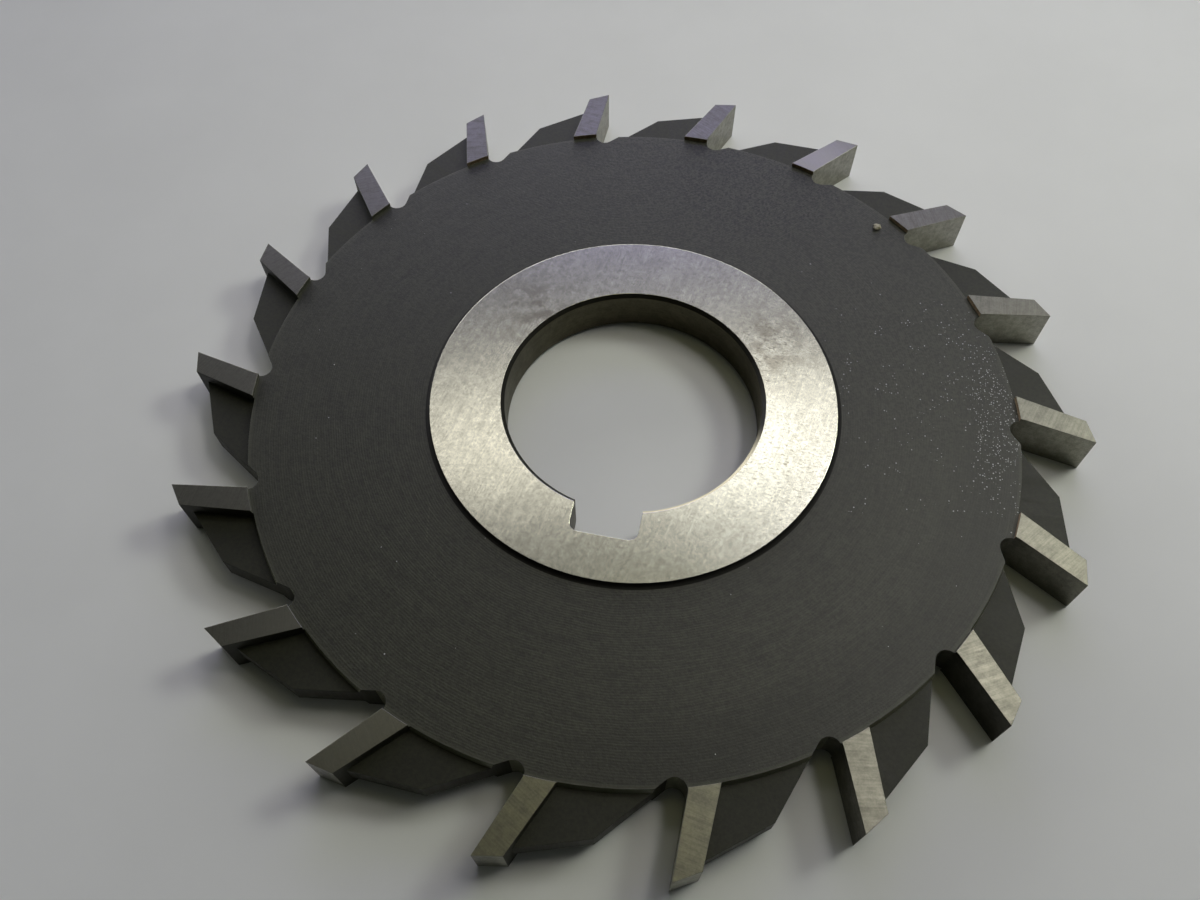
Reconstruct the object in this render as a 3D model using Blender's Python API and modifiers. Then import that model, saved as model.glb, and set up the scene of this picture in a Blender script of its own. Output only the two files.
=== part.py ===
"""Side milling cutter: a toothed steel disc with a keyed bore, lying on one of its side faces.

The disc is turned first, with a raised hub, a web turned down on both sides and a rim of full
width. The tooth outline is then cut right through the rim. Both sides of the rim are gashed
back, which leaves one raised land behind each cutting edge. The keyway is broached last.

The origin is on the cutter's axis, in the face that it lies on. +Z runs along the axis, and
the keyway points along -Y.
"""

from math import acos, atan2, cos, hypot, pi, radians, sin, sqrt, tan

import bmesh
import bpy
from mathutils import Vector

MM = 0.001

# Disc
CUTTER_DIAMETER = 88.9 * MM
CUTTER_WIDTH = 4.7625 * MM
BORE_DIAMETER = 25.4 * MM
BORE_CHAMFER = 0.35 * MM
HUB_DIAMETER = 40.0 * MM
WEB_RECESS = 0.45 * MM
HUB_FILLET = 0.45 * MM
RIM_INNER_DIAMETER = 75.2 * MM

# Keyway, whose reach is measured from the far wall of the bore
KEYWAY_WIDTH = 6.4 * MM
KEYWAY_REACH = 28.3 * MM
KEYWAY_CORNER_RADIUS = 0.9 * MM

# Teeth, whose cutting faces look clockwise when the cutter is seen from above
TOOTH_COUNT = 18
TOOTH_PHASE = radians(-95.8)
RAKE_ANGLE = radians(15.5)
RELIEF_ANGLE = radians(15.5)
RELIEF_LENGTH = 2.5 * MM
LAND_TAPER = radians(2.9)
HEEL_STEP = 0.95 * MM
HEEL_ANGLE = radians(23.5)
HEEL_LENGTH = 6.4 * MM
GULLET_FLOOR_DIAMETER = 73.2 * MM
GULLET_RADIUS = 1.0 * MM

# Side gashes, the pockets between one land and the next
GASH_DEPTH = 1.2 * MM
GASH_WALL_ANGLE = radians(11.0)
WEB_EDGE_STEP = 0.1 * MM

# Fineness of round surfaces
TURN_STEPS = 144
FILLET_STEPS = 4
GULLET_STEPS = 7
CORNER_STEPS = 5

# Room that the cutters leave round what they cut, and the distance at which points are one
CLEAR = 1.0 * MM
WELD = 0.001 * MM

OXIDE_COLOUR = (0.045, 0.044, 0.042, 1.0)
GROUND_COLOUR = (0.46, 0.45, 0.42, 1.0)

CUTTER_RADIUS = CUTTER_DIAMETER / 2
BORE_RADIUS = BORE_DIAMETER / 2
HUB_RADIUS = HUB_DIAMETER / 2
RIM_INNER_RADIUS = RIM_INNER_DIAMETER / 2
TOOTH_PITCH = 2 * pi / TOOTH_COUNT


def clear_scene():
    for item in list(bpy.data.objects):
        bpy.data.objects.remove(item, do_unlink=True)


def new_collection(name):
    collection = bpy.data.collections.new(name)
    bpy.context.scene.collection.children.link(collection)
    return collection


def steel(name, colour, roughness):
    material = bpy.data.materials.new(name)
    material.use_nodes = True
    material.diffuse_color = colour
    shader = material.node_tree.nodes["Principled BSDF"]
    shader.inputs["Base Color"].default_value = colour
    shader.inputs["Metallic"].default_value = 1.0
    shader.inputs["Roughness"].default_value = roughness
    return material


def mark_as_cutter(item):
    item.hide_render = True
    item.display_type = "WIRE"


def add_object(name, mesh, collection):
    item = bpy.data.objects.new(name, mesh)
    collection.objects.link(item)
    return item


def turned(name, profile, collection):
    """Turn a closed profile of (radius, height) points, which runs down its outer side."""
    mesh = bpy.data.meshes.new(name)
    points = [(radius, 0.0, height) for radius, height in profile]
    edges = [(i, (i + 1) % len(points)) for i in range(len(points))]
    mesh.from_pydata(points, edges, [])
    item = add_object(name, mesh, collection)
    screw = item.modifiers.new("turn", "SCREW")
    screw.axis = "Z"
    screw.angle = 2 * pi
    screw.steps = TURN_STEPS
    screw.render_steps = TURN_STEPS
    screw.use_merge_vertices = True
    screw.merge_threshold = WELD
    return item


def plate(name, outlines, low, high, collection):
    """Extrude closed flat outlines of (x, y) points from the height low to the height high."""
    curve = bpy.data.curves.new(name + "_outline", "CURVE")
    curve.dimensions = "2D"
    curve.fill_mode = "BOTH"
    curve.extrude = (high - low) / 2
    for outline in outlines:
        spline = curve.splines.new("POLY")
        spline.points.add(len(outline) - 1)
        for point, (x, y) in zip(spline.points, outline):
            point.co = (x, y, 0.0, 1.0)
        spline.use_cyclic_u = True
    drawn = add_object(name + "_drawn", curve, collection)
    drawn.location.z = (high + low) / 2
    bpy.context.view_layer.update()
    depsgraph = bpy.context.evaluated_depsgraph_get()
    mesh = bpy.data.meshes.new_from_object(drawn.evaluated_get(depsgraph))
    mesh.name = name
    welded = bmesh.new()
    welded.from_mesh(mesh)
    bmesh.ops.remove_doubles(welded, verts=welded.verts, dist=WELD)
    welded.to_mesh(mesh)
    welded.free()
    item = add_object(name, mesh, collection)
    item.matrix_world = drawn.matrix_world
    bpy.data.objects.remove(drawn, do_unlink=True)
    return item


def boolean(item, operation, cutter):
    modifier = item.modifiers.new(cutter.name, "BOOLEAN")
    modifier.operation = operation
    modifier.solver = "EXACT"
    modifier.object = cutter
    mark_as_cutter(cutter)


def arc(centre, radius, start, end, steps):
    """Points along an arc from the angle start to the angle end, both ends included."""
    angles = [start + (end - start) * i / steps for i in range(steps + 1)]
    return [(centre[0] + radius * cos(a), centre[1] + radius * sin(a)) for a in angles]


def turned_about_axis(points, angle):
    return [(x * cos(angle) - y * sin(angle), x * sin(angle) + y * cos(angle)) for x, y in points]


def side_profile():
    """The upper half of the disc's section, from the bore out to the oversize rim."""
    top = CUTTER_WIDTH
    web = top - WEB_RECESS
    fillet = min(HUB_FILLET, WEB_RECESS)
    foot = arc((HUB_RADIUS + fillet, web + fillet), fillet, pi, 3 * pi / 2, FILLET_STEPS)
    wall_top = [(HUB_RADIUS, top)] if fillet < WEB_RECESS else []
    return [
        (BORE_RADIUS, top - BORE_CHAMFER),
        (BORE_RADIUS + BORE_CHAMFER, top),
        *wall_top,
        *foot,
        (RIM_INNER_RADIUS, web),
        (RIM_INNER_RADIUS, top),
        (CUTTER_RADIUS + CLEAR, top),
    ]


def make_blank(collection):
    """The turned disc, alike on both sides, with its rim left oversize for the teeth."""
    upper = side_profile()
    lower = [(radius, CUTTER_WIDTH - height) for radius, height in reversed(upper)]
    return turned("milling_cutter", upper + lower, collection)


def relief_corner():
    """The back corner of the relieved strip behind a tip, with that tip on the +X axis."""
    return (
        CUTTER_RADIUS - RELIEF_LENGTH * sin(RELIEF_ANGLE),
        RELIEF_LENGTH * cos(RELIEF_ANGLE),
    )


def along_land_back(distance):
    """A point on the line of a land's back edge, measured inwards from the relief corner."""
    angle = RAKE_ANGLE + LAND_TAPER
    x, y = relief_corner()
    return (x - distance * cos(angle), y + distance * sin(angle))


def along_face(distance, offset=0.0):
    """A point on a cutting face, measured inwards from the tip, or that far in front of it."""
    return (
        CUTTER_RADIUS - distance * cos(RAKE_ANGLE) - offset * sin(RAKE_ANGLE),
        distance * sin(RAKE_ANGLE) - offset * cos(RAKE_ANGLE),
    )


def gullet_centre():
    """Centre of the round gullet floor, which touches the face and the floor circle."""
    start = Vector(along_face(0.0, GULLET_RADIUS))
    along = Vector(along_face(1.0, GULLET_RADIUS)) - start
    reach = GULLET_FLOOR_DIAMETER / 2 + GULLET_RADIUS
    middle = start.dot(along)
    distance = -middle - sqrt(middle ** 2 - start.dot(start) + reach ** 2)
    return tuple(start + along * distance)


def heel_line():
    """The start of the heel, at the land's back edge, and its lower end at the knee."""
    x, y = along_land_back(HEEL_STEP)
    knee = (x - HEEL_LENGTH * sin(HEEL_ANGLE), y + HEEL_LENGTH * cos(HEEL_ANGLE))
    return (x, y), knee


def crossing(point, direction, other, other_direction):
    """Where two lines cross, each given by a point and a direction."""
    across = direction[0] * other_direction[1] - direction[1] * other_direction[0]
    gap_x, gap_y = other[0] - point[0], other[1] - point[1]
    distance = (gap_x * other_direction[1] - gap_y * other_direction[0]) / across
    return (point[0] + direction[0] * distance, point[1] + direction[1] * distance)


def tooth_outline():
    """One pitch of the outline, anticlockwise from a tip to just before the next one.

    Behind the tip it runs on at the relief angle until it meets the gullet's rear wall. The
    heel, which takes off that corner, is milled together with the side gashes.
    """
    knee = heel_line()[1]
    centre = turned_about_axis([gullet_centre()], TOOTH_PITCH)[0]
    to_knee = (knee[0] - centre[0], knee[1] - centre[1])
    apart = hypot(*to_knee)
    start = atan2(to_knee[1], to_knee[0]) - acos(GULLET_RADIUS / apart)
    end = TOOTH_PITCH + pi / 2 - RAKE_ANGLE
    if start < end:
        start += 2 * pi
    floor = arc(centre, GULLET_RADIUS, start, end, GULLET_STEPS)
    tip = (CUTTER_RADIUS, 0.0)
    relief = (-sin(RELIEF_ANGLE), cos(RELIEF_ANGLE))
    rear_wall = (knee[0] - floor[0][0], knee[1] - floor[0][1])
    return [tip, crossing(tip, relief, knee, rear_wall), *floor]


def make_tooth_form(collection):
    """A plate with the whole toothed outline, thicker than the disc."""
    tooth = tooth_outline()
    outline = []
    for i in range(TOOTH_COUNT):
        outline += turned_about_axis(tooth, TOOTH_PHASE + i * TOOTH_PITCH)
    return plate("tooth_form", [outline], -CLEAR, CUTTER_WIDTH + CLEAR, collection)


def make_land_form(collection):
    """One block for each tooth, over the land that the side gashes leave standing."""
    length = CUTTER_RADIUS - RIM_INNER_RADIUS + 2 * CLEAR
    block = [
        along_face(-2 * CLEAR, CLEAR / 2),
        along_land_back(-2 * CLEAR),
        along_land_back(length),
        along_face(length, CLEAR / 2),
    ]
    blocks = [
        turned_about_axis(block, TOOTH_PHASE + i * TOOTH_PITCH) for i in range(TOOTH_COUNT)
    ]
    return plate("land_form", blocks, -2 * CLEAR, CUTTER_WIDTH + 2 * CLEAR, collection)


def make_heel_form(collection):
    """One block for each tooth, over the heel that is milled off behind its land."""
    start, knee = heel_line()
    along = (Vector(knee) - Vector(start)).normalized() * CLEAR
    outwards = Vector((along.y, -along.x)) * 4
    inner_front = Vector(start) - along
    inner_back = Vector(knee) + 2 * along
    block = [inner_front, inner_back, inner_back + outwards, inner_front + outwards]
    blocks = [
        turned_about_axis(block, TOOTH_PHASE + i * TOOTH_PITCH) for i in range(TOOTH_COUNT)
    ]
    return plate("heel_form", blocks, -1.5 * CLEAR, CUTTER_WIDTH + 1.5 * CLEAR, collection)


def make_gash_ring(name, mirrored, collection):
    """A ring over one side of the rim, down to the floor of the gashes."""
    web = CUTTER_WIDTH - WEB_RECESS
    floor = CUTTER_WIDTH - GASH_DEPTH
    above = CUTTER_WIDTH + CLEAR
    edge_radius = RIM_INNER_RADIUS - WEB_EDGE_STEP
    slope = tan(GASH_WALL_ANGLE)
    outer = CUTTER_RADIUS + 2 * CLEAR
    ring = [
        (edge_radius - (above - web) * slope, above),
        (outer, above),
        (outer, floor),
        (edge_radius + (web - floor) * slope, floor),
    ]
    if mirrored:
        ring = [(radius, CUTTER_WIDTH - height) for radius, height in reversed(ring)]
    item = turned(name, ring, collection)
    item.rotation_euler.z = pi / TURN_STEPS
    return item


def make_gash_form(collection):
    """All that is milled away round the lands: a ring on each side, and the heels."""
    form = make_gash_ring("gash_form", False, collection)
    boolean(form, "UNION", make_gash_ring("lower_ring", True, collection))
    boolean(form, "UNION", make_heel_form(collection))
    boolean(form, "DIFFERENCE", make_land_form(collection))
    return form


def make_keyway(collection):
    """The keyway's outline, from the bore's axis down to a floor with rounded corners."""
    half = KEYWAY_WIDTH / 2
    floor = BORE_RADIUS - KEYWAY_REACH
    radius = KEYWAY_CORNER_RADIUS
    left = arc((radius - half, floor + radius), radius, pi, 3 * pi / 2, CORNER_STEPS)
    right = arc((half - radius, floor + radius), radius, 3 * pi / 2, 2 * pi, CORNER_STEPS)
    outline = [(-half, 0.0), *left, *right, (half, 0.0)]
    return plate("keyway", [outline], -CLEAR, CUTTER_WIDTH + CLEAR, collection)


def is_ground(polygon):
    """Whether a face lies in one of the two ground side faces, on the hub or on a land."""
    level = abs(polygon.normal.z) > 0.999
    height = polygon.center.z
    return level and (height < WELD or height > CUTTER_WIDTH - WELD)


def finish_surfaces(item):
    """Give the hub and the lands their ground finish, and shade the round surfaces smooth."""
    depsgraph = bpy.context.evaluated_depsgraph_get()
    mesh = bpy.data.meshes.new_from_object(item.evaluated_get(depsgraph))
    mesh.name = item.name
    item.modifiers.clear()
    item.data = mesh
    mesh.materials.clear()
    mesh.materials.append(steel("black_oxide_steel", OXIDE_COLOUR, 0.5))
    mesh.materials.append(steel("ground_steel", GROUND_COLOUR, 0.35))
    for polygon in mesh.polygons:
        polygon.material_index = 1 if is_ground(polygon) else 0
    mesh.shade_smooth()
    mesh.set_sharp_from_angle(angle=radians(25))


def build():
    clear_scene()
    parts = new_collection("milling_cutter")
    cutters = new_collection("cutters")
    cutter = make_blank(parts)
    boolean(cutter, "INTERSECT", make_tooth_form(cutters))
    boolean(cutter, "DIFFERENCE", make_gash_form(cutters))
    boolean(cutter, "DIFFERENCE", make_keyway(cutters))
    bpy.context.view_layer.update()
    finish_surfaces(cutter)


build()
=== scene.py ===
"""Looks for the side milling cutter, laid out as a Blender add-on and run as a script.

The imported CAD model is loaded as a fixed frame. The cutter is dressed with a copy of its own
solid that has broken edges and a finish for each of its surfaces. It lies on a pale floor under
soft lamps, with a small crumb of swarf on its web, and is seen by the photograph's camera.
"""

from collections import namedtuple
from math import cos, hypot, pi, radians, sin

import bmesh
import bpy
from bpy.props import FloatProperty, FloatVectorProperty, PointerProperty
from bpy.types import Operator, Panel, PropertyGroup
from mathutils import Euler, Matrix, Vector, noise


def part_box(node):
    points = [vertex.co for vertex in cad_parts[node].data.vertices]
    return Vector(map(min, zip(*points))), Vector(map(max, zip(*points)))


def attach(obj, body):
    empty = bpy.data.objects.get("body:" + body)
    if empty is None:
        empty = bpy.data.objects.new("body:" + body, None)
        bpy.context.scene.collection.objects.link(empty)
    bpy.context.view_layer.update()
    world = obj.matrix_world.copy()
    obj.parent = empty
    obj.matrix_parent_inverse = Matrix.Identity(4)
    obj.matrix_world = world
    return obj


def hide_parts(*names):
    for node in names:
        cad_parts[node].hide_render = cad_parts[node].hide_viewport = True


bl_info = {
    "name": "Side Milling Cutter",
    "version": (1, 0, 0),
    "blender": (4, 5, 0),
    "location": "3D View > Sidebar > Milling Cutter",
    "description": "Finishes, a loose crumb and a stage for a side milling cutter",
    "category": "Object",
}

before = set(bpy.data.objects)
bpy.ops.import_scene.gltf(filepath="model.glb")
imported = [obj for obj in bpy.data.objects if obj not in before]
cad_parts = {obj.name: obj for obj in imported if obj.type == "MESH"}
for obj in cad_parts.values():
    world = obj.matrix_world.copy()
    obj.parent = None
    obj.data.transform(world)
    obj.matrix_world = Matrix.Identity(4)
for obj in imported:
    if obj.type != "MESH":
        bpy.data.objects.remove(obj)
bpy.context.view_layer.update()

NODE = "milling_cutter"
MM = 0.001
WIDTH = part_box(NODE)[1].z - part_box(NODE)[0].z
WEB_STEP = 0.45 * MM
TOOTH_COUNT = 18
TOOTH_PHASE = radians(-95.8)
SHARP = radians(24.0)
SHORT_EDGE = 0.015 * MM
SPECK_SIZE = 0.2 * MM

FINISHES = (
    "web_oxide",
    "gash_oxide",
    "foot_scale",
    "hub_ground",
    "land_ground",
    "face_ground",
    "bore_ground",
    "bore_edge",
    "rubbed_edge",
    "land_end",
)

# A lamp stands at its azimuth, from +Y towards +X, and its elevation, both in degrees, as seen
# from LAMPS_CENTRE. Its size and its distance are in metres.
Lamp = namedtuple(
    "Lamp",
    "name power azimuth elevation size colour distance spread",
    defaults=(0.42, radians(70.0)),
)
LAMPS = (
    Lamp("main_lamp", "main_power", 31.0, 59.5, (0.075, 0.088), (1.0, 0.97, 1.0)),
    Lamp("right_lamp", "right_power", 48.0, 59.5, (0.065, 0.088), (1.0, 0.9, 0.3)),
    Lamp("inner_lamp", "inner_power", 3.0, 60.0, (0.055, 0.05), (1.0, 1.0, 1.0)),
    Lamp("long_lamp", "bar_power", -8.5, 59.5, (0.289, 0.051), (1.0, 0.96, 0.88)),
    Lamp("high_lamp", "high_power", 61.5, 68.0, (0.088, 0.066), (1.0, 0.96, 0.91)),
    Lamp("side_lamp", "side_power", 53.5, 41.0, (0.13, 0.085), (0.96, 1.0, 0.85)),
    Lamp("low_lamp", "low_power", -5.5, 34.0, (0.535, 0.118), (0.52, 0.47, 1.0)),
    Lamp("far_lamp", "far_power", -28.5, 11.0, (2.0, 0.32), (1.0, 1.0, 1.0), 1.0, radians(180.0)),
    Lamp("top_lamp", "top_power", -8.0, 84.0, (0.133, 0.103), (1.0, 0.95, 0.38)),
)
LAMPS_CENTRE = Vector((12.0 * MM, 12.0 * MM, 0.0))
LAMPS_TARGET = Vector((30.0 * MM, 35.0 * MM, 0.0))


# Settings


class CutterSettings(PropertyGroup):
    """Sizes and colours of the cutter's finish."""

    edge_break: FloatProperty(
        name="Edge break",
        description="Width of the tiny bevel along every sharp edge",
        default=0.027 * MM,
        min=0.0,
        precision=5,
        unit="LENGTH",
    )
    hub_radius: FloatProperty(
        name="Hub radius",
        description="Radius of the ground ring round the bore",
        default=20.0 * MM,
        precision=5,
        unit="LENGTH",
    )
    foot_radius: FloatProperty(
        name="Foot radius",
        description="Outer radius of the fillet at the foot of the hub",
        default=20.45 * MM,
        precision=5,
        unit="LENGTH",
    )
    rim_radius: FloatProperty(
        name="Rim radius",
        description="Radius at which the web ends and the teeth begin",
        default=37.5 * MM,
        precision=5,
        unit="LENGTH",
    )
    ring_pitch: FloatProperty(
        name="Ring pitch",
        description="Distance from one turned ring of the web to the next",
        default=0.24 * MM,
        precision=5,
        unit="LENGTH",
    )
    ring_depth: FloatProperty(
        name="Ring depth",
        description="Depth of the turned rings of the web",
        default=0.008 * MM,
        precision=6,
        unit="LENGTH",
    )
    oxide_colour: FloatVectorProperty(
        name="Oxide",
        description="Dark oxide on the web",
        default=(0.0278, 0.0286, 0.0197),
        min=0.0,
        max=1.0,
        subtype="COLOR",
    )
    gash_colour: FloatVectorProperty(
        name="Gash oxide",
        description="Smoother, darker oxide on the floors of the gashes and on the heels",
        default=(0.0152, 0.0159, 0.0077),
        min=0.0,
        max=1.0,
        subtype="COLOR",
    )
    steel_colour: FloatVectorProperty(
        name="Ground steel",
        description="Bare ground steel of the hub, the lands and the cutting faces",
        default=(0.71, 0.7, 0.6),
        min=0.0,
        max=1.0,
        subtype="COLOR",
    )
    bore_colour: FloatVectorProperty(
        name="Bore steel",
        description="Oily steel of the bore and the keyway",
        default=(0.093, 0.086, 0.058),
        min=0.0,
        max=1.0,
        subtype="COLOR",
    )


class CrumbSettings(PropertyGroup):
    """The crumb of dirt that lies on the web."""

    place: FloatVectorProperty(
        name="Place",
        description="Where the crumb lies on the upper side of the web",
        default=(22.35 * MM, 27.67 * MM),
        size=2,
        precision=5,
        unit="LENGTH",
    )
    length: FloatProperty(
        name="Length",
        description="Length of the crumb",
        default=0.82 * MM,
        precision=5,
        unit="LENGTH",
    )
    height: FloatProperty(
        name="Height",
        description="Height of the crumb's top above the web",
        default=0.36 * MM,
        precision=5,
        unit="LENGTH",
    )


class StageSettings(PropertyGroup):
    """Floor, lamps and camera."""

    floor_size: FloatProperty(
        name="Floor size",
        description="Side of the square floor",
        default=3.0,
        unit="LENGTH",
    )
    floor_colour: FloatVectorProperty(
        name="Floor",
        description="Colour of the plain pale floor",
        default=(0.78, 0.79, 0.8),
        min=0.0,
        max=1.0,
        subtype="COLOR",
    )
    main_power: FloatProperty(
        name="Main lamp",
        description="Power of the soft lamp high on the far right",
        default=0.0147,
        unit="POWER",
    )
    bar_power: FloatProperty(
        name="Long lamp",
        description="Power of the long lamp above the far side, which the hub mirrors",
        default=0.0118,
        unit="POWER",
    )
    right_power: FloatProperty(
        name="Right lamp",
        description="Power of the warm lamp to the right of the main one",
        default=0.0046,
        unit="POWER",
    )
    inner_power: FloatProperty(
        name="Inner lamp",
        description="Power of the small lamp between the main and the long one",
        default=0.0026,
        unit="POWER",
    )
    side_power: FloatProperty(
        name="Side lamp",
        description="Power of the soft lamp half-way up on the right",
        default=0.0645,
        unit="POWER",
    )
    high_power: FloatProperty(
        name="High lamp",
        description="Power of the soft lamp above the main one",
        default=0.0257,
        unit="POWER",
    )
    low_power: FloatProperty(
        name="Low lamp",
        description="Power of the wide lamp half-way up on the far side",
        default=0.052,
        unit="POWER",
    )
    far_power: FloatProperty(
        name="Far lamp",
        description="Power of the wide lamp far behind the cutter, just above the floor",
        default=9.2,
        unit="POWER",
    )
    top_power: FloatProperty(
        name="Top lamp",
        description="Power of the soft lamp overhead",
        default=0.007,
        unit="POWER",
    )
    camera_place: FloatVectorProperty(
        name="Camera",
        description="Where the photograph was taken from",
        default=(8.2129 * MM, -54.952 * MM, 85.5608 * MM),
        size=3,
        precision=5,
        subtype="TRANSLATION",
        unit="LENGTH",
    )
    camera_turn: FloatVectorProperty(
        name="Camera turn",
        description="Which way the camera points",
        default=(radians(31.36221), radians(0.30392), radians(11.42104)),
        size=3,
        subtype="EULER",
        unit="ROTATION",
    )
    lens: FloatProperty(
        name="Lens",
        description="Focal length on a sensor 36 mm wide",
        default=29.8086,
        unit="CAMERA",
    )


# Node helpers


def add_node(tree, kind, inputs=None, **settings):
    """Add a node, set its properties, and set or link its inputs."""
    node = tree.nodes.new(kind)
    for name, value in settings.items():
        setattr(node, name, value)
    for name, value in (inputs or {}).items():
        feed(tree, node.inputs[name], value)
    return node


def feed(tree, socket, value):
    """Link a socket to another node's output, or give it a plain value."""
    if isinstance(value, bpy.types.NodeSocket):
        tree.links.new(value, socket)
    else:
        socket.default_value = value


def maths(tree, operation, *values, clamp=False):
    """The result of a sum on plain values or sockets."""
    node = add_node(tree, "ShaderNodeMath", operation=operation, use_clamp=clamp)
    for socket, value in zip(node.inputs, values):
        feed(tree, socket, value)
    return node.outputs[0]


def vector_maths(tree, operation, *values, output=0, **named):
    """The result of a sum on vectors: output 0 is a vector and output 1 a plain value."""
    node = add_node(tree, "ShaderNodeVectorMath", operation=operation)
    for socket, value in zip(node.inputs, values):
        feed(tree, socket, value)
    for name, value in named.items():
        feed(tree, node.inputs[name.capitalize()], value)
    return node.outputs[output]


def ramp(tree, value, low, high, to_low=0.0, to_high=1.0, smooth=False):
    """Map a value from one range to another, clamped."""
    node = add_node(
        tree,
        "ShaderNodeMapRange",
        {"Value": value, "From Min": low, "From Max": high, "To Min": to_low, "To Max": to_high},
        interpolation_type="SMOOTHSTEP" if smooth else "LINEAR",
    )
    return node.outputs[0]


def mix_colours(tree, factor, first, second):
    """Go from the first colour, at a factor of 0, to the second, at 1."""
    node = add_node(tree, "ShaderNodeMix", data_type="RGBA")
    feed(tree, node.inputs[0], factor)
    feed(tree, node.inputs[6], opaque(first))
    feed(tree, node.inputs[7], opaque(second))
    return node.outputs[2]


def opaque(colour):
    """A colour with its alpha, or a socket as it is."""
    if isinstance(colour, bpy.types.NodeSocket) or len(colour) == 4:
        return colour
    return (*colour, 1.0)


def shade(colour, factor):
    """A darker or lighter shade of a plain colour."""
    return tuple(min(1.0, channel * factor) for channel in colour[:3])


def noise_value(tree, vector, scale, detail=2.0, roughness=0.5):
    """Smooth noise about 0.5, with more fine detail the higher its last two values."""
    node = add_node(
        tree,
        "ShaderNodeTexNoise",
        {"Vector": vector, "Scale": scale, "Detail": detail, "Roughness": roughness},
    )
    return node.outputs["Fac"]


def new_group(name, inputs, outputs):
    """An empty shader group with named float, vector or colour sockets."""
    kinds = {"float": "NodeSocketFloat", "vector": "NodeSocketVector", "colour": "NodeSocketColor"}
    group = bpy.data.node_groups.new(name, "ShaderNodeTree")
    for socket_name, kind, default in inputs:
        socket = group.interface.new_socket(socket_name, in_out="INPUT", socket_type=kinds[kind])
        if default is not None:
            socket.default_value = default
    for socket_name, kind in outputs:
        group.interface.new_socket(socket_name, in_out="OUTPUT", socket_type=kinds[kind])
    entry = group.nodes.new("NodeGroupInput")
    result = group.nodes.new("NodeGroupOutput")
    return group, entry, result


def use_group(tree, name, **inputs):
    """Place one of the shared effects and feed its inputs by name."""
    node = tree.nodes.new("ShaderNodeGroup")
    node.node_tree = bpy.data.node_groups[name]
    for socket_name, value in inputs.items():
        feed(tree, node.inputs[socket_name.replace("_", " ").capitalize()], value)
    return node.outputs


# Shared effects


def make_turned_rings():
    """Fine rings round the axis, uneven in depth and broken up along their length."""
    group, entry, result = new_group(
        "turned_rings",
        [("Position", "vector", None), ("Pitch", "float", 0.24 * MM)],
        [("Height", "float"), ("Tone", "float")],
    )
    flat = vector_maths(group, "MULTIPLY", entry.outputs["Position"], (1.0, 1.0, 0.0))
    radius = vector_maths(group, "LENGTH", flat, output=1)
    heading = vector_maths(group, "NORMALIZE", flat)
    turns = maths(group, "DIVIDE", radius, entry.outputs["Pitch"])
    drift = noise_value(group, flat, 220.0, 1.0)
    phase = maths(group, "ADD", turns, maths(group, "MULTIPLY", drift, 2.2))
    wave = maths(group, "SINE", maths(group, "MULTIPLY", phase, 2 * pi))
    wave = maths(group, "MULTIPLY_ADD", wave, 0.5, 0.5)
    reach = vector_maths(group, "SCALE", heading, scale=9.0)
    spread = add_node(
        group,
        "ShaderNodeCombineXYZ",
        {"Z": maths(group, "MULTIPLY", turns, 0.7)},
    )
    polar = vector_maths(group, "ADD", reach, spread.outputs[0])
    streak = noise_value(group, polar, 1.0, 3.0, 0.6)
    depth = ramp(group, streak, 0.35, 0.7, 0.35, 1.0)
    height = maths(group, "MULTIPLY", wave, depth)
    tone = maths(group, "ADD", maths(group, "MULTIPLY", height, 0.5), streak)
    feed(group, result.inputs["Height"], height)
    feed(group, result.inputs["Tone"], tone)


def make_tooth_frame():
    """Turn a position back to the tooth it is on, with that tooth's tip on the +X axis.

    A tooth's share of the rim starts a little ahead of its tip, by the lead.
    """
    lead = 0.28
    group, entry, result = new_group(
        "tooth_frame",
        [("Position", "vector", None)],
        [("Local", "vector"), ("Tooth", "float")],
    )
    parts = add_node(group, "ShaderNodeSeparateXYZ", {"Vector": entry.outputs["Position"]})
    pitch = 2 * pi / TOOTH_COUNT
    heading = maths(group, "ARCTAN2", parts.outputs["Y"], parts.outputs["X"])
    share = maths(group, "DIVIDE", maths(group, "SUBTRACT", heading, TOOTH_PHASE), pitch)
    tooth = maths(group, "FLOOR", maths(group, "ADD", share, lead))
    turn = maths(group, "MULTIPLY_ADD", tooth, pitch, TOOTH_PHASE)
    turned = add_node(
        group,
        "ShaderNodeVectorRotate",
        {"Vector": entry.outputs["Position"], "Angle": maths(group, "MULTIPLY", turn, -1.0)},
        rotation_type="Z_AXIS",
    )
    feed(group, result.inputs["Local"], turned.outputs[0])
    feed(group, result.inputs["Tooth"], tooth)


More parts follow.
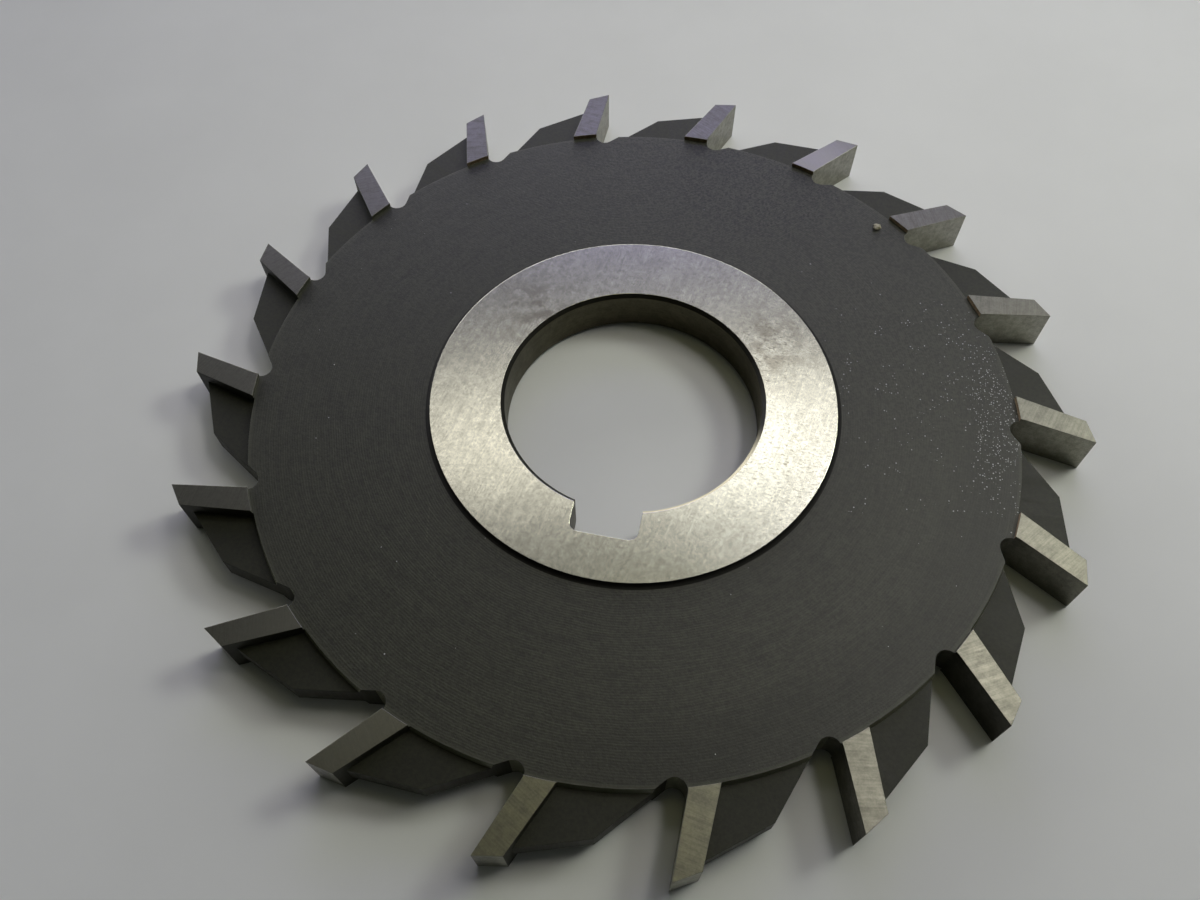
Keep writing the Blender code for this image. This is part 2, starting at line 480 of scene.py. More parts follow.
def make_grinding_lines():
    """Straight scratches side by side, as a grinding wheel leaves them."""
    group, entry, result = new_group(
        "grinding_lines",
        [
            ("Position", "vector", None),
            ("Slant", "float", 0.0),
            ("Spacing", "float", 0.2 * MM),
            ("Length", "float", 4.0 * MM),
            ("Seed", "float", 0.0),
        ],
        [("Height", "float"), ("Tone", "float")],
    )
    turned = add_node(
        group,
        "ShaderNodeVectorRotate",
        {"Vector": entry.outputs["Position"], "Angle": entry.outputs["Slant"]},
        rotation_type="Z_AXIS",
    )
    parts = add_node(group, "ShaderNodeSeparateXYZ", {"Vector": turned.outputs[0]})
    along = maths(group, "DIVIDE", parts.outputs["X"], entry.outputs["Length"])
    across = maths(group, "DIVIDE", parts.outputs["Y"], entry.outputs["Spacing"])
    seed = maths(group, "MULTIPLY", entry.outputs["Seed"], 7.3)
    stretched = add_node(group, "ShaderNodeCombineXYZ", {"X": along, "Y": across, "Z": seed})
    fine = noise_value(group, stretched.outputs[0], 1.0, 3.0, 0.65)
    broad = noise_value(group, stretched.outputs[0], 0.22, 2.0, 0.5)
    broad = maths(group, "MULTIPLY", broad, 0.35)
    height = maths(group, "ADD", maths(group, "MULTIPLY", fine, 0.65), broad)
    feed(group, result.inputs["Height"], height)
    feed(group, result.inputs["Tone"], ramp(group, height, 0.36, 0.64))


def make_mottle():
    """Soft uneven blotches with finer ones inside them, as on handled or dusty steel."""
    group, entry, result = new_group(
        "mottle",
        [("Position", "vector", None), ("Size", "float", 1.0 * MM)],
        [("Tone", "float")],
    )
    scale = maths(group, "DIVIDE", 1.0, entry.outputs["Size"])
    fine_scale = maths(group, "MULTIPLY", scale, 5.0)
    large = noise_value(group, entry.outputs["Position"], scale, 3.0, 0.6)
    fine = noise_value(group, entry.outputs["Position"], fine_scale, 2.0, 0.5)
    fine = maths(group, "MULTIPLY", fine, 0.4)
    tone = maths(group, "ADD", maths(group, "MULTIPLY", large, 0.6), fine)
    feed(group, result.inputs["Tone"], ramp(group, tone, 0.38, 0.62))


def make_specks():
    """Small separate spots, whose share of the surface is set by a density from 0 to 1."""
    group, entry, result = new_group(
        "specks",
        [("Position", "vector", None), ("Size", "float", 0.3 * MM), ("Density", "float", 0.1)],
        [("Mask", "float")],
    )
    scale = maths(group, "DIVIDE", 1.0, entry.outputs["Size"])
    cells = add_node(
        group,
        "ShaderNodeTexVoronoi",
        {"Vector": entry.outputs["Position"], "Scale": scale},
    )
    chance = add_node(group, "ShaderNodeSeparateColor", {"Color": cells.outputs["Color"]})
    chosen = maths(group, "LESS_THAN", chance.outputs[0], entry.outputs["Density"])
    reach = maths(group, "MULTIPLY_ADD", chance.outputs[1], 0.25, 0.15)
    inside = maths(group, "SUBTRACT", reach, cells.outputs["Distance"])
    spot = ramp(group, inside, 0.0, 0.12)
    feed(group, result.inputs["Mask"], maths(group, "MULTIPLY", spot, chosen))


def make_region():
    """A soft round patch about a place on the cutter, 1 at its middle and 0 outside."""
    group, entry, result = new_group(
        "soft_region",
        [
            ("Position", "vector", None),
            ("Centre", "vector", (0.0, 0.0, 0.0)),
            ("Reach", "float", 10.0 * MM),
        ],
        [("Mask", "float")],
    )
    ends = entry.outputs["Position"], entry.outputs["Centre"]
    apart = vector_maths(group, "DISTANCE", *ends, output=1)
    share = maths(group, "DIVIDE", apart, entry.outputs["Reach"])
    feed(group, result.inputs["Mask"], ramp(group, share, 0.0, 1.0, 1.0, 0.0, smooth=True))


def make_scratch():
    """One straight scratch about a place, 1 along its middle and 0 outside."""
    group, entry, result = new_group(
        "scratch",
        [
            ("Position", "vector", None),
            ("Centre", "vector", (0.0, 0.0, 0.0)),
            ("Turn", "float", 0.0),
            ("Length", "float", 5.0 * MM),
            ("Width", "float", 0.2 * MM),
        ],
        [("Mask", "float")],
    )
    offset = vector_maths(group, "SUBTRACT", entry.outputs["Position"], entry.outputs["Centre"])
    turned = add_node(
        group,
        "ShaderNodeVectorRotate",
        {"Vector": offset, "Angle": maths(group, "MULTIPLY", entry.outputs["Turn"], -1.0)},
        rotation_type="Z_AXIS",
    )
    parts = add_node(group, "ShaderNodeSeparateXYZ", {"Vector": turned.outputs[0]})
    along, across = (maths(group, "ABSOLUTE", parts.outputs[axis]) for axis in "XY")
    along = maths(group, "DIVIDE", along, entry.outputs["Length"])
    across = maths(group, "DIVIDE", across, entry.outputs["Width"])
    long_side = ramp(group, along, 0.35, 0.5, 1.0, 0.0)
    short_side = ramp(group, across, 0.25, 0.5, 1.0, 0.0)
    feed(group, result.inputs["Mask"], maths(group, "MULTIPLY", long_side, short_side))


def make_shared_effects():
    """The shader groups that several finishes use."""
    make_turned_rings()
    make_tooth_frame()
    make_grinding_lines()
    make_mottle()
    make_specks()
    make_region()
    make_scratch()


# Finishes


def start_material(name):
    """A new material with its shader and its object coordinates."""
    material = bpy.data.materials.new(name)
    material.use_nodes = True
    tree = material.node_tree
    shader = tree.nodes["Principled BSDF"]
    place = add_node(tree, "ShaderNodeTexCoord").outputs["Object"]
    return material, tree, shader, place


def dress(tree, shader, colour, roughness, metallic=0.0, specular=0.5):
    """Give the shader its colour, its roughness and how metallic and how shiny it is."""
    feed(tree, shader.inputs["Base Color"], colour)
    feed(tree, shader.inputs["Roughness"], roughness)
    feed(tree, shader.inputs["Metallic"], metallic)
    feed(tree, shader.inputs["Specular IOR Level"], specular)


def add_bump(tree, shader, height, depth):
    """Let a height from 0 to 1 tilt the surface as if it were as deep as the depth says."""
    bump = add_node(tree, "ShaderNodeBump", {"Height": height, "Distance": depth, "Strength": 1.0})
    feed(tree, shader.inputs["Normal"], bump.outputs["Normal"])


def two_tones(tree, tone, colour, dark, light):
    """Run from a darker to a lighter shade of one colour."""
    return mix_colours(tree, tone, shade(colour, dark), shade(colour, light))


def lay_over(tree, colour, mask, strength, cover):
    """Cover a colour with another one, through a mask and at a given strength."""
    return mix_colours(tree, maths(tree, "MULTIPLY", mask, strength), colour, cover)


def region(tree, place, x, y, reach, height=WIDTH):
    """A soft round patch on the cutter: its middle and its reach, in millimetres, and its height."""
    patch = use_group(
        tree, "soft_region", Position=place, Centre=(x * MM, y * MM, height), Reach=reach * MM
    )
    return patch["Mask"]


def mottle_tone(tree, place, size):
    """Blotches of about one size, from 0 to 1."""
    return use_group(tree, "mottle", Position=place, Size=size)["Tone"]


def radius_of(tree, place):
    """A place's distance from the axis."""
    flat = vector_maths(tree, "MULTIPLY", place, (1.0, 1.0, 0.0))
    return vector_maths(tree, "LENGTH", flat, output=1)


def along_direction(tree, place, direction):
    """How far a place lies towards a direction, from -1 to 1, whatever its radius."""
    flat = vector_maths(tree, "MULTIPLY", place, (1.0, 1.0, 0.0))
    heading = vector_maths(tree, "NORMALIZE", flat)
    return vector_maths(tree, "DOT_PRODUCT", heading, direction, output=1)


def web_grain(tree, place, settings, rings, grain, mottle):
    """The oxide's own colour: rings and fine grain, with stronger pits right and far."""
    oxide = settings.oxide_colour
    tone = maths(tree, "MULTIPLY", ramp(tree, rings["Tone"], 0.25, 0.95), 0.4)
    tone = maths(tree, "MULTIPLY_ADD", mottle, 0.2, tone)
    tone = maths(tree, "MULTIPLY_ADD", grain, 0.4, tone)
    even = two_tones(tree, tone, oxide, 0.42, 1.58)
    pits = ramp(tree, noise_value(tree, place, 3800.0, 3.0, 0.65), 0.42, 0.58)
    pitted = two_tones(tree, pits, oxide, 0.5, 1.75)
    right_side = region(tree, place, 31.0, 8.0, 24.0)
    far_side = maths(tree, "MULTIPLY", region(tree, place, 5.0, 32.0, 42.0), 0.8)
    share = maths(tree, "MULTIPLY_ADD", right_side, 0.5, far_side, clamp=True)
    return mix_colours(tree, share, even, pitted)


def web_rim_shade(tree, place, settings, radius, colour):
    """Painted shade, which darkens the web along the rim at the lower right."""
    side = vector_maths(tree, "DOT_PRODUCT", place, (0.8, -0.6, 0.0), output=1)
    side = ramp(tree, side, 14.0 * MM, 30.0 * MM, smooth=True)
    inner_end, outer_end = settings.rim_radius - 8.0 * MM, settings.rim_radius - 3.0 * MM
    painted_shade = maths(tree, "MULTIPLY", side, ramp(tree, radius, inner_end, outer_end, smooth=True))
    return lay_over(tree, colour, painted_shade, 0.4, shade(settings.oxide_colour, 0.1))


def web_rim_sheen_and_scratch(tree, place, settings, rings, radius, mottle, colour):
    """A lighter band along the rim, a painted highlight, and one scratch that shows on the crests of
    the rings.
    """
    # Painted highlight: a lighter band of oxide along the rim's edge.
    inner_end, outer_end = settings.rim_radius - 0.4 * MM, settings.rim_radius - 0.1 * MM
    band = ramp(tree, radius, inner_end, outer_end)
    band = maths(tree, "MULTIPLY", band, ramp(tree, mottle, 0.0, 1.0, 0.5, 1.0))
    colour = mix_colours(tree, band, colour, shade(settings.oxide_colour, 1.7))
    scratch = use_group(
        tree, "scratch", Position=place, Centre=(-15.97 * MM, -17.16 * MM, WIDTH - WEB_STEP),
        Turn=radians(-78.3), Length=4.3 * MM, Width=0.22 * MM,
    )
    scratch = maths(tree, "MULTIPLY", scratch["Mask"], ramp(tree, rings["Height"], 0.2, 0.8))
    return mix_colours(tree, scratch, colour, shade(settings.oxide_colour, 2.4))


def speck_density(tree, place, settings, radius):
    """How close the bright specks, painted glints, lie: dense along the right of the rim, in
    clusters inside it.
    """
    inner_end, outer_end = settings.rim_radius - 6.0 * MM, settings.rim_radius - 2.0 * MM
    by_rim = ramp(tree, radius, inner_end, outer_end, smooth=True)
    dense = maths(tree, "MULTIPLY", region(tree, place, 35.0, 5.0, 15.0), by_rim)
    clusters = ramp(tree, noise_value(tree, place, 420.0, 2.0, 0.5), 0.5, 0.62)
    loose = maths(tree, "MULTIPLY", region(tree, place, 28.0, 5.0, 18.0), clusters)
    density = maths(tree, "MULTIPLY_ADD", loose, 0.3, 0.0015)
    return maths(tree, "MULTIPLY_ADD", dense, 0.75, density)


def web_rust_and_specks(tree, place, settings, radius, colour):
    """Rust pocks on the far side, and bright specks, painted glints, that each have a painted shadow
    beside them.
    """
    dark = shade(settings.oxide_colour, 0.1)
    pocks = ramp(tree, noise_value(tree, place, 3300.0, 3.0, 0.6), 0.54, 0.6)
    rusted = ramp(tree, region(tree, place, 9.0, 33.5, 17.0), 0.0, 0.6)
    colour = lay_over(tree, colour, maths(tree, "MULTIPLY", pocks, rusted), 0.9, dark)
    density = speck_density(tree, place, settings, radius)
    # Painted shadows: dark spots just beside the bright specks.
    beside = vector_maths(tree, "ADD", place, (0.07 * MM, 0.09 * MM, 0.0))
    glint_shadows = use_group(tree, "specks", Position=beside, Size=SPECK_SIZE, Density=density)
    colour = lay_over(tree, colour, glint_shadows["Mask"], 0.7, shade(settings.oxide_colour, 0.2))
    # Painted glints: bright specks, mostly along the right of the rim.
    specks = use_group(tree, "specks", Position=place, Size=SPECK_SIZE, Density=density)
    return lay_over(tree, colour, specks["Mask"], 0.9, (0.52, 0.52, 0.54))


def make_web_oxide(settings):
    """Dark grainy oxide over fine turned rings; painted glints in specks, painted light and shade at
    the rim.
    """
    material, tree, shader, place = start_material("web_oxide")
    rings = use_group(tree, "turned_rings", Position=place, Pitch=settings.ring_pitch)
    mottle = mottle_tone(tree, place, 1.6 * MM)
    grain = ramp(tree, noise_value(tree, place, 3600.0, 3.0, 0.65), 0.38, 0.62)
    radius = radius_of(tree, place)
    colour = web_grain(tree, place, settings, rings, grain, mottle)
    colour = web_rim_shade(tree, place, settings, radius, colour)
    colour = web_rim_sheen_and_scratch(tree, place, settings, rings, radius, mottle, colour)
    colour = web_rust_and_specks(tree, place, settings, radius, colour)
    roughness = ramp(tree, rings["Height"], 0.0, 1.0, 0.5, 0.4)
    dress(tree, shader, colour, roughness, specular=0.43)
    crests = maths(tree, "MULTIPLY", rings["Height"], 0.65)
    add_bump(tree, shader, maths(tree, "MULTIPLY_ADD", grain, 0.7, crests), settings.ring_depth)
    return material


def make_gash_oxide(settings):
    """Milled and blackened, smoother than the web, with faint cutter marks."""
    material, tree, shader, place = start_material("gash_oxide")
    local = use_group(tree, "tooth_frame", Position=place)
    lines = use_group(
        tree, "grinding_lines", Position=local["Local"], Slant=radians(-20.0), Spacing=0.3 * MM,
        Length=5.0 * MM, Seed=local["Tooth"],
    )
    grain = ramp(tree, noise_value(tree, place, 3500.0, 3.0, 0.65), 0.35, 0.65)
    tone = maths(tree, "MULTIPLY_ADD", lines["Tone"], 0.35, maths(tree, "MULTIPLY", grain, 0.65))
    colour = two_tones(tree, tone, settings.gash_colour, 0.55, 1.45)
    dress(tree, shader, colour, ramp(tree, lines["Tone"], 0.0, 1.0, 0.5, 0.6), specular=0.38)
    marks = maths(tree, "MULTIPLY", lines["Height"], 0.65)
    add_bump(tree, shader, maths(tree, "MULTIPLY_ADD", grain, 0.35, marks), 0.008 * MM)
    return material


def make_foot_scale():
    """Near-black scale in the groove round the hub."""
    material, tree, shader, place = start_material("foot_scale")
    mottle = mottle_tone(tree, place, 0.6 * MM)
    colour = mix_colours(tree, mottle, (0.006, 0.0055, 0.005), (0.014, 0.013, 0.012))
    dress(tree, shader, colour, ramp(tree, mottle, 0.0, 1.0, 0.6, 0.75), specular=0.2)
    return material


def hub_grime(tree, place, cloud, colour):
    """Stains at the far left and the far right, and dark pricks all along the right side."""
    wear_and_sheen = region(tree, place, 15.0, -5.0, 12.0)
    grimy = region(tree, place, 12.5, 8.5, 7.5)
    stained = region(tree, place, -12.2, 8.6, 7.0)
    blots = ramp(tree, noise_value(tree, place, 700.0, 5.0, 0.65), 0.44, 0.58)
    stain = maths(tree, "MULTIPLY", blots, maths(tree, "ADD", stained, grimy))
    colour = lay_over(tree, colour, stain, 0.75, (0.34, 0.31, 0.25))
    worn_share = maths(tree, "MULTIPLY", wear_and_sheen, 0.75)
    patches = maths(tree, "ADD", worn_share, maths(tree, "MULTIPLY", grimy, 0.9))
    drawn_out = vector_maths(tree, "MULTIPLY", place, (1900.0, 4200.0, 0.0))
    pricks = ramp(tree, noise_value(tree, drawn_out, 1.0, 2.0, 0.6), 0.53, 0.64)
    pricks = maths(tree, "MULTIPLY", pricks, ramp(tree, cloud, 0.44, 0.56, 0.4, 1.0))
    return lay_over(tree, colour, pricks, patches, (0.2, 0.18, 0.13))


def make_hub_ground(settings):
    """Bright ground ring: fine grain, faint straight scratches, clouds of grime and dark flecks."""
    material, tree, shader, place = start_material("hub_ground")
    lines = use_group(
        tree, "grinding_lines", Position=place, Slant=radians(-78.6), Spacing=0.14 * MM,
        Length=2.2 * MM,
    )
    grain = noise_value(tree, place, 4500.0, 3.0, 0.7)
    cloud = noise_value(tree, place, 1500.0, 4.0, 0.7)
    scored = maths(tree, "MULTIPLY", lines["Height"], 0.35)
    tone = maths(tree, "ADD", scored, maths(tree, "MULTIPLY", grain, 0.35))
    tone = maths(tree, "ADD", tone, maths(tree, "MULTIPLY", cloud, 0.3))
    colour = two_tones(tree, ramp(tree, tone, 0.41, 0.59), settings.steel_colour, 0.76, 1.24)
    smudge = ramp(tree, noise_value(tree, place, 420.0, 5.0, 0.7), 0.42, 0.62)
    colour = lay_over(tree, colour, smudge, 0.25, shade(settings.steel_colour, 0.6))
    colour = hub_grime(tree, place, cloud, colour)
    scratch = use_group(
        tree, "scratch", Position=place, Centre=(10.6 * MM, -13.1 * MM, WIDTH), Turn=radians(40.0),
        Length=1.0 * MM, Width=0.09 * MM,
    )
    colour = lay_over(tree, colour, scratch["Mask"], 0.5, (0.15, 0.14, 0.1))
    dress(tree, shader, colour, ramp(tree, tone, 0.4, 0.6, 0.22, 0.205), metallic=1.0)
    add_bump(tree, shader, tone, 0.0003 * MM)
    return material


def make_land_ground(settings):
    """Ground lands with slanting wheel marks that differ from tooth to tooth, and painted light on a
    few of them.
    """
    material, tree, shader, place = start_material("land_ground")
    local = use_group(tree, "tooth_frame", Position=place)
    lines = use_group(
        tree, "grinding_lines", Position=local["Local"], Slant=radians(-65.0), Spacing=0.16 * MM,
        Length=2.5 * MM, Seed=local["Tooth"],
    )
    scored = maths(tree, "MULTIPLY", lines["Tone"], 0.55)
    mottle = mottle_tone(tree, place, 0.8 * MM)
    tone = maths(tree, "ADD", scored, maths(tree, "MULTIPLY", mottle, 0.45))
    colour = two_tones(tree, tone, settings.steel_colour, 0.17, 0.31)
    # Painted light: a painted highlight on one land on the far side, and lighter lands at the near
    # left.
    bright = maths(tree, "MULTIPLY", region(tree, place, 15.2, 36.5, 10.0), 0.9)
    wear_and_sheen = region(tree, place, -20.6, -34.3, 15.0)
    lighter = maths(tree, "MULTIPLY_ADD", wear_and_sheen, 0.4, bright)
    colour = mix_colours(tree, lighter, colour, shade(settings.steel_colour, 0.48))
    dress(tree, shader, colour, ramp(tree, tone, 0.0, 1.0, 0.42, 0.3), metallic=1.0)
    add_bump(tree, shader, lines["Height"], 0.006 * MM)
    return material


def make_face_ground(settings):
    """Cutting faces and reliefs: duller ground steel, with painted shade on the faces at the lower
    right.
    """
    material, tree, shader, place = start_material("face_ground")
    local = use_group(tree, "tooth_frame", Position=place)
    mottle = mottle_tone(tree, local["Local"], 0.7 * MM)
    colour = two_tones(tree, mottle, settings.steel_colour, 0.33, 0.49)
    # Painted shade: the cutting faces at the lower right are darkened.
    painted_shade = region(tree, place, 32.0, -25.0, 30.0, height=2.4 * MM)
    colour = lay_over(tree, colour, painted_shade, 0.9, shade(settings.steel_colour, 0.04))
    dress(tree, shader, colour, ramp(tree, mottle, 0.0, 1.0, 0.46, 0.36), metallic=1.0)
    add_bump(tree, shader, mottle, 0.003 * MM)
    return material


def make_bore_ground(settings):
    """Bore and keyway: oily brownish steel, honed round the axis, with painted shade on one wall of
    the keyway.
    """
    material, tree, shader, place = start_material("bore_ground")
    stretched = vector_maths(tree, "MULTIPLY", place, (250.0, 250.0, 6000.0))
    hone = maths(tree, "MULTIPLY", noise_value(tree, stretched, 1.0, 2.0, 0.6), 0.6)
    mottle = maths(tree, "MULTIPLY", mottle_tone(tree, place, 1.2 * MM), 0.4)
    tone = maths(tree, "ADD", hone, mottle)
    colour = two_tones(tree, ramp(tree, tone, 0.2, 0.8), settings.bore_colour, 0.75, 1.2)
    # Painted shade on the left wall of the keyway.
    keyway_shade = ramp(tree, region(tree, place, -8.5, -12.4, 6.0, height=2.2 * MM), 0.1, 0.45)
    colour = lay_over(tree, colour, keyway_shade, 0.9, shade(settings.bore_colour, 0.1))
    dress(tree, shader, colour, ramp(tree, tone, 0.2, 0.8, 0.5, 0.4), metallic=1.0)
    add_bump(tree, shader, tone, 0.004 * MM)
    return material


def make_bore_edge():
    """The small slope at the mouth of the bore: near black, but light bare steel at the lower right.
    """
    material, tree, shader, place = start_material("bore_edge")
    mottle = mottle_tone(tree, place, 0.5 * MM)
    side = along_direction(tree, place, (-0.57, 0.82, 0.0))
    lower_right = ramp(tree, side, -0.6, -0.92, smooth=True)
    dark = mix_colours(tree, mottle, (0.008, 0.0075, 0.005), (0.016, 0.015, 0.01))
    colour = mix_colours(tree, lower_right, dark, (0.8, 0.74, 0.55))
    roughness = ramp(tree, mottle, 0.0, 1.0, 0.4, 0.55)
    dress(tree, shader, colour, roughness, metallic=lower_right, specular=0.15)
    return material


def make_lit_rim_slope(settings):
    """The narrow slope between the web and the gashes, its oxide painted lighter than the web as a
    painted highlight.
    """
    material, tree, shader, place = start_material("rubbed_edge")
    mottle = mottle_tone(tree, place, 0.5 * MM)
    colour = two_tones(tree, mottle, settings.oxide_colour, 1.9, 3.6)
    # Painted light: the slope is made lighter still where it faces the near side and lies in shade.
    near = ramp(tree, along_direction(tree, place, (-0.5, -0.87, 0.0)), -0.35, 0.25, smooth=True)
    colour = mix_colours(tree, near, colour, shade(settings.oxide_colour, 6.0))
    dress(tree, shader, colour, ramp(tree, mottle, 0.0, 1.0, 0.5, 0.36))
    return material


def make_land_end(settings):
    """The low wall at the inner end of each land, browned by rust on the far side."""
    material, tree, shader, place = start_material("land_end")
    mottle = mottle_tone(tree, place, 0.5 * MM)
    dark = two_tones(tree, mottle, settings.oxide_colour, 1.6, 3.0)
    brown = mix_colours(tree, mottle, (0.15, 0.1, 0.055), (0.36, 0.27, 0.17))
    far = ramp(tree, along_direction(tree, place, (0.5, 0.87, 0.0)), 0.0, 0.4, smooth=True)
    colour = mix_colours(tree, far, dark, brown)
    dress(tree, shader, colour, ramp(tree, mottle, 0.0, 1.0, 0.7, 0.5))
    return material


def make_finishes(settings):
    """All the cutter's materials, in the order of FINISHES."""
    make_shared_effects()
    return [
        make_web_oxide(settings),
        make_gash_oxide(settings),
        make_foot_scale(),
        make_hub_ground(settings),
        make_land_ground(settings),
        make_face_ground(settings),
        make_bore_ground(settings),
        make_bore_edge(),
        make_lit_rim_slope(settings),
        make_land_end(settings),
    ]


# Pieces


def add_piece(name, shape, materials):
    """Turn a finished bmesh into an object at the origin."""
    mesh = bpy.data.meshes.new(name)
    shape.to_mesh(mesh)
    shape.free()
    for material in materials:
        mesh.materials.append(material)
    piece = bpy.data.objects.new(name, mesh)
    bpy.context.scene.collection.objects.link(piece)
    return piece


def finish_of(face, settings):
    """The finish of one face of the cutter, told from where it lies and which way it looks."""
    radii = [hypot(corner.co.x, corner.co.y) for corner in face.verts]
    nearest, farthest = min(radii), max(radii)
    middle = face.calc_center_median()
    depth = min(middle.z, WIDTH - middle.z)
    upright = abs(face.normal.z)
    slack = 0.05 * MM
    if farthest < settings.hub_radius + slack and upright > 0.99:
        return "hub_ground"
    if farthest < settings.hub_radius - slack:
        return "bore_edge" if upright > 0.3 else "bore_ground"
    if farthest < settings.foot_radius + slack:
        return "foot_scale"
    if upright > 0.9:
        land_reach, web_reach = 0.1 * MM, 0.8 * MM
        if depth < land_reach:
            return "land_ground"
        return "web_oxide" if depth < web_reach else "gash_oxide"
    clockwise = face.normal.dot(Vector((middle.y, -middle.x, 0.0)).normalized())
    outwards = face.normal.dot(Vector((middle.x, middle.y, 0.0)).normalized())
    past_rim = farthest - settings.rim_radius
    slope_width, land_start, tip_start = 0.3 * MM, 0.8 * MM, 6.8 * MM
    if clockwise > 0.6 or past_rim > tip_start:
        return "face_ground"
    if past_rim < slope_width and outwards > 0.8:
        return "rubbed_edge"
    if past_rim < land_start and nearest < settings.rim_radius:
        return "rubbed_edge"
    if past_rim < land_start and outwards < -0.8:
        return "land_end"
    return "gash_oxide"


def mark_smooth(shape):
    """Smooth the faces of curved surfaces, leave flat ones flat, and part them by sharp edges."""
    hardly_bent = radians(0.3)
    for face in shape.faces:
        bends = [edge.calc_face_angle() for edge in face.edges]
        level = abs(face.normal.z) > 0.9999
        face.smooth = not level and any(hardly_bent < bend < SHARP for bend in bends)
    for edge in shape.edges:
        alike = all(face.smooth for face in edge.link_faces)
        edge.smooth = alike and edge.calc_face_angle() < SHARP


def make_cutter(settings):
    """The cutter, from a merged copy of its solid, with broken edges and its finishes.

    Very short edges are merged first, because each would hold back the bevel beside it.
    """
    shape = bmesh.new()
    shape.from_mesh(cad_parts[NODE].data)
    bmesh.ops.remove_doubles(shape, verts=shape.verts, dist=SHORT_EDGE)
    bmesh.ops.dissolve_limit(
        shape,
        angle_limit=radians(0.4),
        verts=shape.verts,
        edges=shape.edges,
        delimit={"NORMAL"},
    )
    for face in shape.faces:
        face.material_index = FINISHES.index(finish_of(face, settings))
    mark_smooth(shape)
    corners = [edge for edge in shape.edges if edge.calc_face_angle() > SHARP]
    broken = bmesh.ops.bevel(
        shape,
        geom=corners,
        offset=settings.edge_break,
        offset_type="OFFSET",
        segments=2,
        profile=0.5,
        affect="EDGES",
        clamp_overlap=True,
        material=-1,
    )
    for face in broken["faces"]:
        face.smooth = False
    for edge in shape.edges:
        edge.smooth = all(face.smooth for face in edge.link_faces)
    return add_piece("cutter_steel", shape, make_finishes(settings))


def make_crumb_material():
    """Dry dusty swarf, lighter and darker in patches."""
    material, tree, shader, place = start_material("dry_crumb")
    mottle = mottle_tone(tree, place, 0.3 * MM)
    colour = mix_colours(tree, mottle, (0.07, 0.064, 0.042), (0.42, 0.39, 0.29))
    dress(tree, shader, colour, ramp(tree, mottle, 0.0, 1.0, 0.9, 0.7))
    return material


def make_crumb(settings):
    """A crumb of swarf and dust, lumpy and a little flattened, lying on the web."""
    lumpiness, narrowing, raw_height = 0.6, 0.85, 2.6
    shape = bmesh.new()
    bmesh.ops.create_icosphere(shape, subdivisions=4, radius=1.0)
    for corner in shape.verts:
        lump = noise.noise(corner.co * 1.6) + 0.6 * noise.noise(corner.co * 3.5)
        corner.co *= 1.0 + lumpiness * lump
    half = settings.length / 2
    stretch = (half, half * narrowing, settings.height / raw_height)
    turn = Matrix.Rotation(0.6, 3, "Z")
    bmesh.ops.scale(shape, vec=stretch, verts=shape.verts)
    bmesh.ops.rotate(shape, cent=(0, 0, 0), matrix=turn, verts=shape.verts)
    highest = max(corner.co.z for corner in shape.verts)
    rest = Vector((*settings.place, WIDTH - WEB_STEP + settings.height - highest))
    bmesh.ops.translate(shape, vec=rest, verts=shape.verts)
    for face in shape.faces:
        face.smooth = True
    return add_piece("swarf_crumb", shape, [make_crumb_material()])


# Stage


def make_floor(settings):
    """A plain pale square under the cutter, very slightly cloudy."""
    shape = bmesh.new()
    bmesh.ops.create_grid(shape, x_segments=1, y_segments=1, size=settings.floor_size / 2)
    material, tree, shader, place = start_material("pale_floor")
    cloud = ramp(tree, noise_value(tree, place, 60.0, 3.0, 0.55), 0.35, 0.65)
    colour = two_tones(tree, cloud, settings.floor_colour, 0.985, 1.015)
    dress(tree, shader, colour, 0.9, specular=0.1)
    return add_piece("floor", shape, [material])


def make_lamp(row, power):
    """A soft rectangular lamp that looks at the floor beside the cutter, its long side level."""
    lamp = bpy.data.lights.new(row.name, "AREA")
    lamp.shape = "RECTANGLE"
    lamp.size, lamp.size_y = row.size
    lamp.energy = power
    lamp.color = row.colour
    lamp.spread = row.spread
    azimuth, elevation = radians(row.azimuth), radians(row.elevation)
    level = cos(elevation)
    away = Vector((sin(azimuth) * level, cos(azimuth) * level, sin(elevation)))
    item = bpy.data.objects.new(row.name, lamp)
    item.location = LAMPS_CENTRE + away * row.distance
    item.rotation_euler = (item.location - LAMPS_TARGET).to_track_quat("Z", "Y").to_euler()
    bpy.context.scene.collection.objects.link(item)


def make_world():
    """A dim room that is lighter and cooler towards the far side than the near one."""
    world = bpy.data.worlds.new("dim_room")
    bpy.context.scene.world = world
    world.use_nodes = True
    tree = world.node_tree
    direction = add_node(tree, "ShaderNodeTexCoord").outputs["Generated"]
    far = vector_maths(tree, "DOT_PRODUCT", direction, (0.35, 0.93, 0.0), output=1)
    lightness = ramp(tree, far, -0.3, 0.9, smooth=True)
    colour = mix_colours(tree, lightness, (0.033, 0.035, 0.026), (0.168, 0.176, 0.2))
    background = tree.nodes["Background"]
    feed(tree, background.inputs["Color"], colour)
    background.inputs["Strength"].default_value = 1.0


def make_camera(settings):
    """The photograph's camera."""
    camera = bpy.data.cameras.new("camera")
    camera.sensor_width = 36.0
    camera.lens = settings.lens
    camera.clip_start = 0.005
    camera.clip_end = 20.0
    item = bpy.data.objects.new("camera", camera)
    item.location = settings.camera_place
    item.rotation_euler = Euler(settings.camera_turn)
    bpy.context.scene.collection.objects.link(item)
    bpy.context.scene.camera = item


# Operators


class MILLING_OT_cutter(Operator):
    """Dress the cutter with broken edges and its finishes"""

    bl_idname = "milling.cutter"
    bl_label = "Cutter"

    def execute(self, context):
        cutter = make_cutter(context.scene.milling_cutter_finish)
        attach(cutter, "root")
        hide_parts(NODE)
        return {"FINISHED"}


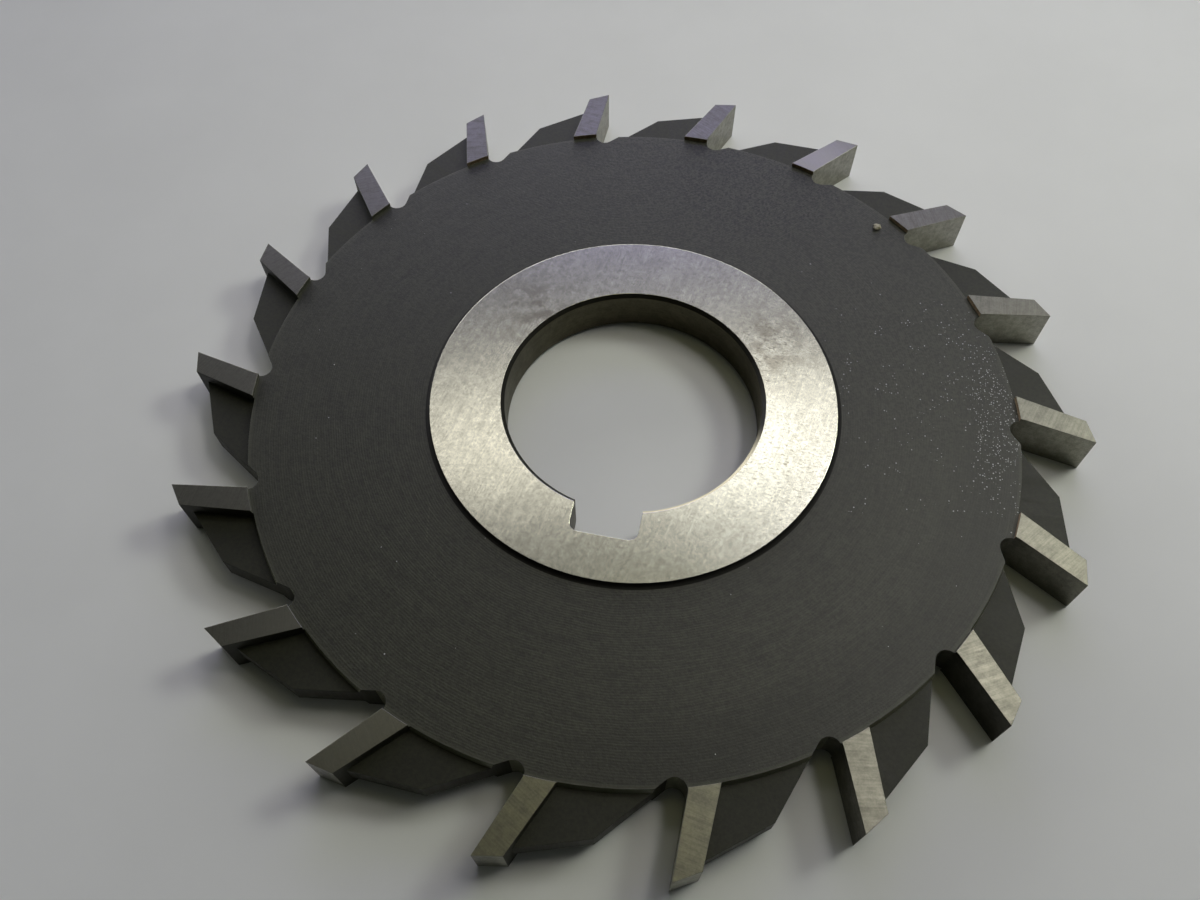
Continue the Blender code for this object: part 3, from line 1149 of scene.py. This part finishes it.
class MILLING_OT_crumb(Operator):
    """Lay a crumb of dirt on the web"""

    bl_idname = "milling.crumb"
    bl_label = "Crumb"

    def execute(self, context):
        crumb = make_crumb(context.scene.milling_cutter_crumb)
        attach(crumb, "root")
        return {"FINISHED"}


class MILLING_OT_stage(Operator):
    """Set up the floor, the lamps and the photograph's camera"""

    bl_idname = "milling.stage"
    bl_label = "Stage"

    def execute(self, context):
        settings = context.scene.milling_cutter_stage
        context.scene.view_settings.view_transform = "Standard"
        floor = make_floor(settings)
        for row in LAMPS:
            make_lamp(row, getattr(settings, row.power))
        make_world()
        make_camera(settings)
        return {"FINISHED"}


class MILLING_PT_panel(Panel):
    """Lists the cutter's settings and the buttons that build each part of the scene"""

    bl_idname = "MILLING_PT_panel"
    bl_label = "Milling Cutter"
    bl_space_type = "VIEW_3D"
    bl_region_type = "UI"
    bl_category = "Milling Cutter"

    def draw(self, context):
        groups = (
            (MILLING_OT_cutter, context.scene.milling_cutter_finish),
            (MILLING_OT_crumb, context.scene.milling_cutter_crumb),
            (MILLING_OT_stage, context.scene.milling_cutter_stage),
        )
        for operator, settings in groups:
            box = self.layout.box()
            for name in settings.__annotations__:
                box.prop(settings, name)
            box.operator(operator.bl_idname)


CLASSES = (
    CutterSettings,
    CrumbSettings,
    StageSettings,
    MILLING_OT_cutter,
    MILLING_OT_crumb,
    MILLING_OT_stage,
    MILLING_PT_panel,
)


def register():
    for cls in CLASSES:
        bpy.utils.register_class(cls)
    bpy.types.Scene.milling_cutter_finish = PointerProperty(type=CutterSettings)
    bpy.types.Scene.milling_cutter_crumb = PointerProperty(type=CrumbSettings)
    bpy.types.Scene.milling_cutter_stage = PointerProperty(type=StageSettings)


def unregister():
    del bpy.types.Scene.milling_cutter_stage
    del bpy.types.Scene.milling_cutter_crumb
    del bpy.types.Scene.milling_cutter_finish
    for cls in reversed(CLASSES):
        bpy.utils.unregister_class(cls)


def main():
    register()
    bpy.ops.milling.stage()
    bpy.ops.milling.cutter()
    bpy.ops.milling.crumb()


if __name__ == "__main__":
    main()
